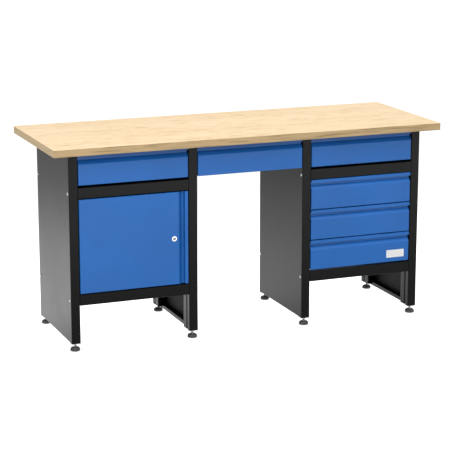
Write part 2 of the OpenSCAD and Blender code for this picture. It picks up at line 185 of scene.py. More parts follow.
def ring_loft(rings, closed=False):
    """The shell through a stack of closed rings: quads join each ring to the next, and the first
    and last ring are filled, or joined to each other when closed is true."""
    rings = np.asarray(rings, float)
    count, size = rings.shape[:2]
    index = np.arange(count * size).reshape(count, size)
    turned = np.roll(index, -1, 1)
    lower, upper = index[:-1], index[1:]
    next_lower, next_upper = turned[:-1], turned[1:]
    if closed:
        lower, upper = index, np.roll(index, -1, 0)
        next_lower, next_upper = turned, np.roll(turned, -1, 0)
    quads = np.stack([lower, next_lower, next_upper, upper], -1).reshape(-1, 4)
    faces = quads.tolist()
    if not closed:
        faces += [index[0][::-1].tolist(), index[-1].tolist()]
    return rings.reshape(-1, 3), faces


def round_rectangle(width, depth, radius, steps=5):
    """A rectangle about the origin with round corners: each corner's centre, moved in by the
    radius, plus the radius times a direction that turns a quarter turn."""
    angle = np.linspace(0, math.pi / 2, steps + 1)
    turn = angle[None, :] + np.arange(4)[:, None] * math.pi / 2
    signs = np.array([[1, 1], [-1, 1], [-1, -1], [1, -1]])
    centre = signs * (np.array([width, depth]) / 2 - radius)
    arc = radius * np.stack([np.cos(turn), np.sin(turn)], -1)
    return (centre[:, None, :] + arc).reshape(-1, 2)


def rectangle_stack(width, depth, layers, origin, ex, ey, ez):
    """A shell through round rectangles. A layer (inset, radius, level) is one rectangle that much
    smaller than width by depth on every side, at that level along local z."""
    rings = []
    for inset, radius, level in layers:
        outline = round_rectangle(width - 2 * inset, depth - 2 * inset, radius)
        rings.append(np.column_stack([outline, np.full(len(outline), level)]))
    return ring_loft(place(np.stack(rings), origin, ex, ey, ez))


def pan_shell(size, fold, gauge, bend, lip, origin, ex, ey, ez):
    """A rectangular sheet pan. Its face lies in the local plane z = 0 about the origin, its four
    edges are folded towards +z by fold, and end in a lip turned inwards when lip is above 0. A
    section of the bent sheet gives pairs (inset, depth), and each pair is one round rectangle
    that much smaller than the face and that deep."""
    width, height = size
    inner = 4 * (bend + gauge)
    path = [[inner, 0], [0, 0], [0, fold]]
    if lip > 0:
        path.append([lip, fold])
    section = sheet_section(path, gauge, bend)
    layers = [(inset, max(bend + gauge - inset, LEAST_ROUND), depth) for inset, depth in section]
    return rectangle_stack(width, height, layers, origin, ex, ey, ez)


def slab(low, high, radius, corner, steps=5):
    """A board between two corners whose edges are round: round rectangles inset by
    radius (1 - cos a) at a height that follows radius sin a, at the bottom and at the top."""
    low, high = np.asarray(low, float), np.asarray(high, float)
    width, depth, thick = high - low
    angle = np.linspace(0, math.pi / 2, steps + 1)
    inset = np.concatenate([(1 - np.sin(angle)), (1 - np.cos(angle))]) * radius
    level = np.concatenate([(1 - np.cos(angle)), thick / radius - 1 + np.sin(angle)]) * radius
    layers = [(gap, max(corner - gap, LEAST_ROUND), z) for gap, z in zip(inset, level)]
    middle = [(low[0] + high[0]) / 2, (low[1] + high[1]) / 2, low[2]]
    return rectangle_stack(width, depth, layers, middle, X, Y, Z)


def circle_rings(radius, level, angle):
    """Points (r cos a, r sin a, z) for radii and levels given by row, or by row and angle."""
    shape = np.broadcast_shapes(radius.shape, level.shape, angle.shape)
    return np.stack(
        [radius * np.cos(angle), radius * np.sin(angle), np.broadcast_to(level, shape)], -1
    )


def from_flat(angle):
    """The cosine of the angle from the nearest flat of a hexagon."""
    return np.cos((angle + math.pi / 6) % (math.pi / 3) - math.pi / 6)


def turned(profile, origin, ex, ey, ez, sides=32, hexagon=()):
    """A profile of (radius, height) pairs turned about local z. At the rows listed in hexagon the
    ring is a hexagon of that inscribed radius: r / cos of the angle from the nearest flat."""
    profile = np.asarray(profile, float)
    angle = np.arange(sides) * TAU / sides
    radius = np.repeat(profile[:, :1], sides, 1)
    rows = list(hexagon)
    radius[rows] = radius[rows] / from_flat(angle)
    points = circle_rings(radius, profile[:, 1:], angle)
    return ring_loft(place(points, origin, ex, ey, ez))


def hex_nut(flat, bore, height, origin, ex, ey, ez, sides=48):
    """A hex nut with turned chamfers and a plain bore. The outside radius is the smaller of the
    hexagon, flat / cos of the angle from the nearest flat, and a cone that falls off at both
    ends; the bore closes the loop of rings."""
    angle = np.arange(sides) * TAU / sides
    hexagon = flat / from_flat(angle)
    cut = 0.14 * flat
    level = np.array([0, 0.5 * cut, cut, height - cut, height - 0.5 * cut, height])
    cone = flat + np.array([0.0, 1.0, 2.0, 2.0, 1.0, 0.0]) * 0.6 * cut
    outside = np.minimum(hexagon[None, :], cone[:, None])
    radius = np.vstack([outside, np.full((2, sides), bore)])
    level = np.concatenate([level, [height, 0]])
    points = circle_rings(radius, level[:, None], angle)
    return ring_loft(place(points, origin, ex, ey, ez), closed=True)


def threaded(radius, pitch, low, high, origin, sides=24):
    """A threaded bar: radius minus a triangle wave of the height over the pitch less the angle
    over a full turn, which makes one helix, run out flat over the last turn at each end."""
    rows = int((high - low) / pitch * 6)
    level = np.linspace(low, high, rows + 1)[:, None]
    angle = (np.arange(sides) * TAU / sides)[None, :]
    phase = (level / pitch - angle / TAU) % 1
    edge = np.clip(np.minimum(level - low, high - level) / pitch, 0, 1)
    depth = 0.42 * pitch
    r = radius - depth * (1 - np.abs(2 * phase - 1)) * edge - depth * (1 - edge)
    return ring_loft(place(circle_rings(r, level, angle), origin, X, Y, Z))


def build(name, shells, finish, body, replaced=(), smooth=30):
    """Joins shells of (points, faces) into one object at the origin, turns their faces outwards,
    marks edges sharper than the smooth angle, and hands it to the body it rides on."""
    points, faces, start = [], [], 0
    for shell_points, shell_faces in shells:
        points.append(shell_points)
        faces += [[corner + start for corner in face] for face in shell_faces]
        start += len(shell_points)
    mesh = bpy.data.meshes.new(name)
    mesh.from_pydata(np.vstack(points), [], faces)
    shell = bmesh.new()
    shell.from_mesh(mesh)
    bmesh.ops.recalc_face_normals(shell, faces=shell.faces)
    shell.to_mesh(mesh)
    shell.free()
    mesh.shade_smooth()
    mesh.set_sharp_from_angle(angle=math.radians(smooth))
    piece = bpy.data.objects.new(name, mesh)
    bpy.context.scene.collection.objects.link(piece)
    weighted = piece.modifiers.new("flat_faces_stay_flat", "WEIGHTED_NORMAL")
    weighted.keep_sharp = True
    mesh.materials.append(finish.material)
    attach(piece, body)
    if replaced:
        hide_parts(*replaced)
    return piece


def coat(node, finish):
    """Gives a CAD node a finish in place of its plain one."""
    mesh = NODES[node].data
    mesh.materials.clear()
    mesh.materials.append(finish.material)


def extent(node):
    """Lowest corner, highest corner and middle of a CAD node, as arrays."""
    low, high = (np.array(corner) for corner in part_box(node))
    return low, high, (low + high) / 2


def panel_face(panel):
    """Where a side panel's outer face is, and the way to its posts along x."""
    low, high, _ = extent(panel + "_panel")
    return (low[0], 1) if panel in ("left_outer", "right_inner") else (high[0], -1)


def post_width():
    """The width of a post, which is that of a side panel."""
    low, high, _ = extent("left_outer_panel")
    return high[0] - low[0]


# ---- Finishes ---------------------------------------------------------------------------------


class Wire:
    """A shader socket that can stand in a Python sum."""

    def __init__(self, nodes, socket):
        self.nodes = nodes
        self.socket = socket

    def maths(self, operation, first, second=0.0):
        settings = {"operation": operation}
        return self.nodes.node("ShaderNodeMath", settings, {0: first, 1: second})

    def __add__(self, other):
        return self.maths("ADD", self, other)

    def __sub__(self, other):
        return self.maths("SUBTRACT", self, other)

    def __mul__(self, other):
        return self.maths("MULTIPLY", self, other)

    def __rsub__(self, other):
        return self.maths("SUBTRACT", other, self)

    __radd__ = __add__
    __rmul__ = __mul__

    def over(self, limit):
        """1 where the value is above the limit, else 0."""
        return self.maths("GREATER_THAN", self, limit)

    def wave(self):
        """The sine of the value."""
        return self.maths("SINE", self)

    def nearest(self):
        """The whole number next to the value."""
        return self.maths("ROUND", self)

    def size(self):
        """The value without its sign."""
        return self.maths("ABSOLUTE", self)


class Nodes:
    """A node tree, emptied, and the one method that adds nodes to it."""

    def __init__(self, owner):
        owner.use_nodes = True
        self.tree = owner.node_tree
        self.tree.nodes.clear()

    def node(self, kind, settings=None, inputs=None, out=0):
        """Adds a node: its settings first, then the values or links of its sockets."""
        made = self.tree.nodes.new(kind)
        for key, value in (settings or {}).items():
            setattr(made, key, value)
        for key, value in (inputs or {}).items():
            if isinstance(value, Wire):
                self.tree.links.new(value.socket, made.inputs[key])
            else:
                made.inputs[key].default_value = value
        return None if out is None else Wire(self, made.outputs[out])

    def along(self, axis, kind="Object"):
        """One coordinate of the place, in metres."""
        where = self.node("ShaderNodeTexCoord", out=kind)
        return self.node("ShaderNodeSeparateXYZ", {}, {0: where}, out=axis)

    def noise(self, scale, detail=3.0, rough=0.5, stretch=(1, 1, 1)):
        """Fractal noise from 0 to 1."""
        where = self.node("ShaderNodeTexCoord", out="Object")
        where = self.node("ShaderNodeMapping", {}, {"Vector": where, "Scale": stretch})
        inputs = {"Vector": where, "Scale": scale, "Detail": detail, "Roughness": rough}
        return self.node("ShaderNodeTexNoise", {}, inputs)

    def level(self, value, low, high):
        """A value eased from 0 at low to 1 at high."""
        settings = {"interpolation_type": "SMOOTHSTEP"}
        inputs = {"Value": value, "From Min": low, "From Max": high}
        return self.node("ShaderNodeMapRange", settings, inputs)

    def blend(self, mask, first, second):
        """One colour where the mask is 0 and the other where it is 1."""
        first, second = (tint if isinstance(tint, Wire) else (*tint, 1) for tint in (first, second))
        inputs = {0: mask, 6: first, 7: second}
        return self.node("ShaderNodeMix", {"data_type": "RGBA"}, inputs, out=2)

    def bump(self, height, strength, distance):
        """A bump from a height."""
        inputs = {"Height": height, "Strength": strength, "Distance": distance}
        return self.node("ShaderNodeBump", {}, inputs, out="Normal")


class Finish(Nodes):
    """A material made of nodes, and the record's slot that it stands for."""

    def __init__(self, name, slot):
        self.slot = slot
        self.material = bpy.data.materials.new(name)
        super().__init__(self.material)

    def shade(self, **sockets):
        """Ends the material in one shader. Names use underscores for spaces."""
        inputs = {key.replace("_", " "): value for key, value in sockets.items()}
        shader = self.node("ShaderNodeBsdfPrincipled", {}, inputs)
        self.node("ShaderNodeOutputMaterial", {}, {"Surface": shader}, out=None)
        return self


def inside_of_webs(finish):
    """1 on the faces of the side panels' webs that look into a pedestal, between the posts."""
    low, high, _ = extent("right_outer_panel")
    gauge, fold = sizes().frame_gauge, sizes().post_fold
    across, back = finish.along("X").size(), finish.along("Y")
    outer = across.over(high[0] - 2 * gauge) * (1 - across.over(high[0] - gauge / 2))
    knee = extent("right_inner_panel")[0][0]
    inner = across.over(knee + gauge / 2) * (1 - across.over(knee + 2 * gauge))
    between = back.over(low[1] + fold) * (1 - back.over(high[1] - fold))
    return (outer + inner) * between


def powder_coat(name, slot, tint, specular, gloss, thin=0.0):
    """Powder coat: a fine orange-peel bump, and colour and roughness that drift a little. Where
    little powder reaches, inside the webs, it is rougher by thin."""
    finish = Finish(name, slot)
    drift = finish.noise(3.1, 2.0)
    peel = finish.noise(900, 2.0, 0.55)
    fleck = finish.noise(2600, 1.0)
    tint = np.array(tint)
    coat = finish.blend(finish.level(drift, 0.3, 0.7), tuple(tint * 0.94), tuple(tint * 1.06))
    coat = finish.blend(finish.level(fleck, 0.66, 0.80) * 0.35, coat, tuple(tint * 1.5))
    inner = inside_of_webs(finish) * thin if thin else 0.0
    return finish.shade(
        Base_Color=coat,
        Roughness=finish.level(finish.noise(7.0, 4.0), 0.2, 0.8) * 0.07 + gloss + inner,
        Specular_IOR_Level=specular,
        Normal=finish.bump(peel, 0.10, 0.0004),
    )


def plated_steel(name, slot, tint, rough):
    """Plated steel: faint brushed streaks and cloudy patches."""
    finish = Finish(name, slot)
    cloud = finish.noise(60, 4.0, 0.6)
    streak = finish.noise(300, 3.0, 0.5, (1, 0.08, 1))
    tint = np.array(tint)
    return finish.shade(
        Base_Color=finish.blend(finish.level(cloud, 0.3, 0.7), tuple(tint * 0.86), tuple(tint)),
        Metallic=1.0,
        Roughness=cloud * 0.10 + streak * 0.10 + rough,
        Normal=finish.bump(streak, 0.12, 0.0002),
    )


def moulded_plastic(name, slot, tint):
    """Moulded plastic: a fine grain and slightly scuffed patches."""
    finish = Finish(name, slot)
    grain = finish.noise(1800, 2.0)
    scuff = finish.noise(90, 5.0, 0.7)
    tint = np.array(tint)
    return finish.shade(
        Base_Color=finish.blend(finish.level(scuff, 0.45, 0.75), tuple(tint), tuple(tint * 1.7)),
        Roughness=scuff * 0.2 + 0.38,
        Normal=finish.bump(grain, 0.25, 0.0003),
    )


def plywood(name, slot, top, bottom):
    """Beech plywood. The faces have short dashes of brown grain along x in broader, paler bands,
    and the edges show plies 1.5 mm thick in turn under long streaks. The two end edges are
    painted lighter: painted light, as if lit from the side."""
    tints = colours()
    finish = Finish(name, slot)
    height = finish.along("Z")
    dash = finish.noise(115, 3.0, 0.6, (0.13, 1, 1))
    fibre = finish.noise(900, 2.0, 0.5, (0.02, 1, 1))
    band = finish.noise(21, 3.0, 0.55, (0.10, 1, 1))
    board = finish.noise(6, 2.0, 0.5, (0.25, 1, 1))
    marks = finish.level(dash, 0.54, 0.66) * (finish.level(band, 0.34, 0.66) * 0.7 + 0.3)
    pale = tuple(np.array(tints.veneer) * np.array([1.04, 1.06, 1.10]))
    warm = tuple(np.array(tints.veneer) * np.array([0.98, 0.92, 0.84]))
    veneer = finish.blend(finish.level(board, 0.35, 0.65), pale, tuple(tints.veneer))
    veneer = finish.blend(finish.level(band, 0.45, 0.80) * 0.8, veneer, warm)
    grain = marks * 0.9 + finish.level(fibre, 0.55, 0.85) * 0.15
    face = finish.blend(grain, veneer, tuple(tints.grain))
    plies = finish.level((height * (TAU / 0.003)).wave(), -0.35, 0.35)
    streak = finish.noise(150, 3.0, 0.55, (0.05, 0.05, 1))
    side = finish.blend(plies * 0.5, tuple(tints.ply_light), tuple(tints.ply_dark))
    dark = tuple(np.array(tints.ply_dark) * 0.60)
    side = finish.blend(finish.level(streak, 0.46, 0.72) * 0.85, side, dark)
    # Painted light: both end edges of the board are blended towards the paler veneer tone, as if
    # lit from the left.
    ends = finish.along("X").size().over(extent("worktop")[1][0] - 0.0004)
    side = finish.blend(ends * 0.6, side, tuple(tints.veneer))
    faces = height.over(top - 0.0004) + 1 - height.over(bottom + 0.0004)
    return finish.shade(
        Base_Color=finish.blend(faces, side, face),
        Roughness=dash * 0.14 + 0.40,
        Specular_IOR_Level=0.2,
        Normal=finish.bump(dash + streak * 0.5, 0.14, 0.0003),
    )


def vinyl(name, slot, tint, low, high):
    """A plain write-on label: three pale ruled lines on white. A line is where the height's share
    of the label, times four, is close to a whole number."""
    finish = Finish(name, slot)
    across = finish.along("X")
    quarter = (finish.along("Z") - low[2]) * (4 / (high[2] - low[2]))
    rule = 1 - finish.level((quarter - quarter.nearest()).size(), 0.02, 0.05)
    inside = finish.level(across, low[0] + 0.007, low[0] + 0.0072)
    inside = inside * (1 - finish.level(across, high[0] - 0.0072, high[0] - 0.007))
    ends = quarter.over(0.5) * (1 - quarter.over(3.5))
    paper = finish.noise(500, 2.0)
    return finish.shade(
        Base_Color=finish.blend(rule * inside * ends, tuple(tint), (0.42, 0.44, 0.47)),
        Roughness=paper * 0.1 + 0.35,
        Normal=finish.bump(paper, 0.05, 0.0001),
    )


FINISHES = {}


def finish(name):
    """A named finish, made once."""
    if name in FINISHES:
        return FINISHES[name]
    tints = colours()
    board, label = extent("worktop"), extent("label")
    makers = {
        "blue_coat": (powder_coat, "front_blue", tints.blue, 0.36, 0.34),
        "tray_coat": (powder_coat, "tray_blue", tints.blue, 0.36, 0.40),
        "black_coat": (powder_coat, "frame_black", tints.black, 0.106, 0.18, 0.4),
        "zinc_plate": (plated_steel, "zinc", tints.zinc, 0.22),
        "chrome_plate": (plated_steel, "lock_chrome", tints.chrome, 0.08),
        "plug_face": (plated_steel, "lock_chrome", tints.plug, 0.35),
        "pad_plastic": (moulded_plastic, "foot_black", tints.plastic),
        "beech_ply": (plywood, "beech_ply", board[1][2], board[0][2]),
        "plain_label": (vinyl, "label_white", tints.label, label[0], label[1]),
    }
    maker, *rest = makers[name]
    FINISHES[name] = maker(name, *rest)
    return FINISHES[name]


# ---- Pieces -----------------------------------------------------------------------------------


class BenchOperator(bpy.types.Operator):
    """What every step of the build shares"""

    bl_options = {"REGISTER", "UNDO"}

    def execute(self, context):
        self.make()
        return {"FINISHED"}


class BENCH_OT_worktop(BenchOperator):
    """Build the plywood worktop with eased edges"""

    bl_idname = "bench.worktop"
    bl_label = "Worktop"

    def make(self):
        low, high, _ = extent("worktop")
        board = slab(low, high, sizes().board_round, 0.004)
        build("plywood_top", [board], finish("beech_ply"), "frame", ["worktop"])


class BENCH_OT_side_panels(BenchOperator):
    """Build the four folded side panels with their posts, flanges and foot plates"""

    bl_idname = "bench.side_panels"
    bl_label = "Side panels"

    def make(self):
        s = sizes()
        depth = extent("left_upper_rail")[1][1] - extent("left_upper_rail")[0][1]
        brackets = extent("left_uprights")
        for panel in PANELS:
            low, high, _ = extent(panel + "_panel")
            outer, inward = panel_face(panel)
            width, bottom, top = high[0] - low[0], low[2], high[2]
            seam = depth + SEAM
            post = [[width - s.post_lip, depth], [width, depth], [width, 0], [0, 0], [0, seam]]
            section = sheet_section(post, s.frame_gauge, s.frame_bend)
            web = [[s.panel_flange, top], [0, top], [0, bottom], [s.panel_flange, bottom]]
            web = sheet_section(np.array(web) * [1, -1], s.frame_gauge, s.frame_bend) * [1, -1]
            shells = []
            for edge, inwards in ((low[1], 1), (high[1], -1)):
                origin = [outer, edge, 0]
                shells.append(extrude(section, bottom, top, origin, inward * X, inwards * Y, Z))
                corner = np.array([outer + inward * s.frame_gauge, edge + inwards * s.frame_gauge])
                reach = [width - 2 * s.frame_gauge, depth - 2 * s.frame_gauge]
                other = corner + np.array(reach) * [inward, inwards]
                plate_low = [*np.minimum(corner, other), bottom + 0.0002]
                plate_high = [*np.maximum(corner, other), bottom + s.foot_plate]
                shells.append(slab(plate_low, plate_high, 0.0003, s.frame_bend))
            span = (low[1] + seam, high[1] - seam)
            shells.append(extrude(web, *span, [outer, 0, 0], inward * X, Z, Y))
            lip = outer + inward * (s.panel_flange - s.frame_gauge * np.array([1, 0]))
            lip_low = [lip.min(), brackets[0][1] + width + SEAM, bottom]
            lip_high = [lip.max(), brackets[1][1] - width - SEAM, bottom + s.flange_lip]
            shells.append(slab(lip_low, lip_high, 0.0003, 0.0005))
            build(panel + "_side", shells, finish("black_coat"), "frame", [panel + "_panel"])


class BENCH_OT_front_rails(BenchOperator):
    """Build the four front rails as channels with folded ends"""

    bl_idname = "bench.front_rails"
    bl_label = "Front rails"

    def make(self):
        s = sizes()
        for rail in ("left_upper", "left_lower", "right_upper", "right_lower"):
            low, high, middle = extent(rail + "_rail")
            size = (high[0] - low[0], high[2] - low[2])
            origin, fold = [middle[0], low[1], middle[2]], high[1] - low[1]
            shell = pan_shell(size, fold, s.frame_gauge, s.front_bend, 0, origin, X, Z, Y)
            build(rail + "_channel", [shell], finish("black_coat"), "frame", [rail + "_rail"])


class BENCH_OT_backs(BenchOperator):
    """Build the back sheets of the pedestals and the beam between them"""

    bl_idname = "bench.backs"
    bl_label = "Back sheets and beam"

    def make(self):
        s = sizes()
        nodes = ("left_back_panel", "right_back_panel", "rear_beam")
        for node, name in zip(nodes, ("left_back", "right_back", "beam")):
            low, high, middle = extent(node)
            size = (high[0] - low[0], high[2] - low[2])
            origin = [middle[0], high[1], middle[2]]
            fold = high[1] - low[1]
            shell = pan_shell(size, fold, s.frame_gauge, s.frame_bend, 0, origin, X, Z, -Y)
            build(name + "_sheet", [shell], finish("black_coat"), "frame", [node])


class BENCH_OT_uprights(BenchOperator):
    """Build the upright brackets that carry slides and shelf"""

    bl_idname = "bench.uprights"
    bl_label = "Uprights"

    def make(self):
        s = sizes()
        for side, panels in (("left", PANELS[:2]), ("right", PANELS[2:])):
            low, high, _ = extent(side + "_uprights")
            shells = []
            post = post_width()
            path = [[s.frame_gauge, post], [post, post], [post, 0], [s.frame_gauge, 0]]
            section = sheet_section(path, s.frame_gauge, s.frame_bend)
            for panel in panels:
                outer, inward = panel_face(panel)
                for y in (low[1], high[1] - post):
                    origin = [outer, y, 0]
                    shells.append(extrude(section, low[2], high[2], origin, inward * X, Y, Z))
            build(side + "_brackets", shells, finish("black_coat"), "frame", [side + "_uprights"])


class BENCH_OT_cupboard(BenchOperator):
    """Build the cupboard's floor and shelf, and finish the shelf's clips"""

    bl_idname = "bench.cupboard"
    bl_label = "Cupboard inside"

    def make(self):
        s = sizes()
        for node in ("cabinet_floor", "cabinet_shelf"):
            low, high, middle = extent(node)
            size = (high[0] - low[0], high[1] - low[1])
            origin = [middle[0], middle[1], high[2]]
            fold = high[2] - low[2]
            shell = pan_shell(size, fold, s.front_gauge, s.front_bend, 0, origin, X, Y, -Z)
            build(node + "_sheet", [shell], finish("black_coat"), "frame", [node])
        coat("shelf_clips", finish("zinc_plate"))


def front_shells(width, height, fold, origin, ex, ey, ez):
    """A front of the given width and height, with its finger groove along the local +y edge and
    its face in the local plane z = 0. The face below the groove is a pan. The groove is a sheet
    bent along: the lip's foot, the top of the lip, back along the top, down the groove's back
    wall, and along a slope that meets the pan's round edge at a tangent."""
    s = sizes()
    gauge, bend = s.front_gauge, s.front_bend
    face = height - s.groove_height
    pan_origin = np.asarray(origin) + np.asarray(ey) * (face / 2)
    pan = pan_shell((width, face), fold, gauge, bend, s.front_lip, pan_origin, ex, ey, ez)
    rise = np.array([s.groove_depth - gauge, s.groove_height - s.groove_flat])
    normal = np.array([-rise[1], rise[0]]) / np.linalg.norm(rise)
    round_edge = bend + gauge
    touch = np.array([round_edge, face - round_edge]) + round_edge * normal
    path = [
        [0, height - s.groove_lip],
        [0, height],
        [s.groove_depth, height],
        [s.groove_depth, height - s.groove_flat],
        touch - gauge * normal,
    ]
    section = sheet_section(path, gauge, bend)
    groove = extrude(section, -width / 2, width / 2, origin, ez, ey, ex)
    return [pan, groove]


class BENCH_OT_drawer_fronts(BenchOperator):
    """Build the six drawer fronts with their finger grooves"""

    bl_idname = "bench.drawer_fronts"
    bl_label = "Drawer fronts"

    def make(self):
        for drawer in DRAWERS:
            node = "drawer_front_" + drawer
            low, high, middle = extent(node)
            origin = [middle[0], low[1], low[2]]
            width, fold, height = high - low
            shells = front_shells(width, height, fold, origin, X, Z, Y)
            build("front_" + drawer, shells, finish("blue_coat"), "drawer_" + drawer, [node])


class BENCH_OT_drawer_trays(BenchOperator):
    """Build the six drawer boxes as deep pans with a hemmed rim"""

    bl_idname = "bench.drawer_trays"
    bl_label = "Drawer boxes"

    def make(self):
        s = sizes()
        for drawer in DRAWERS:
            node = "drawer_tray_" + drawer
            low, high, middle = extent(node)
            width, depth, height = high - low
            origin = [middle[0], middle[1], low[2]]
            hem = s.tray_hem
            bend, gauge = s.front_bend, s.front_gauge
            shell = pan_shell((width, depth), height, gauge, bend, hem, origin, X, Y, Z)
            build("tray_" + drawer, [shell], finish("tray_coat"), "drawer_" + drawer, [node])


class BENCH_OT_slides(BenchOperator):
    """Build the slides: outer rails on the frame, inner runners on the drawers"""

    bl_idname = "bench.slides"
    bl_label = "Drawer slides"

    def make(self):
        s = sizes()
        for drawer in DRAWERS:
            rails, runners = "slide_rails_" + drawer, "drawer_runners_" + drawer
            wall, tray = extent(rails)[0][0], extent("drawer_tray_" + drawer)[0][0]
            depth = tray - wall - 2 * s.front_gauge
            self.channels(rails, "frame", wall, depth, 1)
            self.channels(runners, "drawer_" + drawer, tray, depth, -1)

    def channels(self, node, body, web, depth, way):
        """Both channels of a pair. The left one has its web at web and opens to the right where
        way is 1, and the right one is its mirror image about the middle."""
        low, high, middle = extent(node)
        half = (high[2] - low[2]) / 2
        path = [[depth, -half], [0, -half], [0, half], [depth, half]]
        section = sheet_section(path, sizes().front_gauge, sizes().front_bend)
        shells = []
        for side in (1, -1):
            origin = [middle[0] + side * (web - middle[0]), 0, middle[2]]
            shells.append(extrude(section, low[1], high[1], origin, side * way * X, Z, Y))
        build(node + "_sheet", shells, finish("zinc_plate"), body, [node])


class BENCH_OT_door(BenchOperator):
    """Build the cupboard door with its upright finger groove, and finish its hinge pins"""

    bl_idname = "bench.door"
    bl_label = "Door"

    def make(self):
        low, high, middle = extent("door")
        width, fold, height = high - low
        origin = [low[0], low[1], middle[2]]
        shells = front_shells(height, width, fold, origin, Z, X, Y)
        build("door_sheet", shells, finish("blue_coat"), "door_leaf", ["door"])
        coat("hinge_pins", finish("black_coat"))


class BENCH_OT_lock(BenchOperator):
    """Build the lock's bezel, barrel and nut, and finish its plug and cam"""

    bl_idname = "bench.lock"
    bl_label = "Cam lock"

    def make(self):
        low, high, middle = extent("lock_barrel")
        nut_low, nut_high, _ = extent("lock_nut")
        plug_low, plug_high, _ = extent("lock_plug")
        face = extent("door")[0][1]
        bezel, rim, back = (high[0] - low[0]) / 2, face - low[1], high[1] - face
        bore = (plug_high[0] - plug_low[0]) / 2 + 0.0002
        barrel, rim_round = 0.009, 0.0012
        angle = np.linspace(0, math.pi / 2, 6)
        rim_r = bezel - rim_round + rim_round * np.cos(angle)
        rim_z = rim - rim_round + rim_round * np.sin(angle)
        profile = [[barrel, -back], [barrel, 0], [bezel, 0], *np.stack([rim_r, rim_z], 1)]
        profile += [[bore + 0.0007, rim], [bore, rim - 0.0006], [bore, -back]]
        points = np.array(profile)
        rings = circle_rings(points[:, :1], points[:, 1:], np.arange(64) * TAU / 64)
        origin = [middle[0], face, middle[2]]
        shell = ring_loft(place(rings, origin, X, Z, -Y), closed=True)
        build("lock_bezel", [shell], finish("chrome_plate"), "door_leaf", ["lock_barrel"])
        flat = (nut_high[2] - nut_low[2]) / 2
        nut_origin = [middle[0], nut_low[1], middle[2]]
        nut = hex_nut(flat, barrel + 0.0001, nut_high[1] - nut_low[1], nut_origin, Z, X, Y)
        build("lock_ring_nut", [nut], finish("zinc_plate"), "door_leaf", ["lock_nut"])
        coat("lock_plug", finish("plug_face"))
        coat("lock_cam", finish("zinc_plate"))


class BENCH_OT_label(BenchOperator):
    """Build the plain label on the lowest drawer"""

    bl_idname = "bench.label"
    bl_label = "Label"

    def make(self):
        low, high, middle = extent("label")
        width, thick, height = high - low
        edge, corner = 0.0002, 0.002
        angle = np.linspace(0, math.pi / 2, 4)
        inset = np.concatenate([[0], (1 - np.cos(angle)) * edge])
        level = np.concatenate([[0], thick - edge + np.sin(angle) * edge])
        layers = [(gap, corner, z) for gap, z in zip(inset, level)]
        origin = [middle[0], high[1], middle[2]]
        shell = rectangle_stack(width, height, layers, origin, X, Z, -Y)
        build("write_on_label", [shell], finish("plain_label"), "drawer_right_4", ["label"])


def button_bolt(radius, head, head_height, shank, origin, ex, ey, ez):
    """A button-head bolt about local z with its head at z < 0: a domed head with a hexagon
    socket, a plain shank, and a chamfered end."""
    socket, chamfer, dome_turn, rim = 0.36 * head, 0.0008, 1.05, 0.18
    angle = np.linspace(0, dome_turn, 7)
    dome_r = head * np.cos(angle)
    dome_z = -head_height * (rim + (1 - rim) * np.sin(angle) / math.sin(dome_turn))
    profile = [[socket * 0.4, -0.35 * head_height], [socket, -0.35 * head_height]]
    profile += [[socket, -0.93 * head_height], [socket * 1.2, -head_height]]
    profile += np.stack([dome_r, dome_z], 1)[::-1].tolist()
    profile += [[head, 0], [radius, 0], [radius, shank - chamfer], [radius - chamfer, shank]]
    return turned(profile, origin, ex, ey, ez, 36, hexagon=(0, 1, 2))


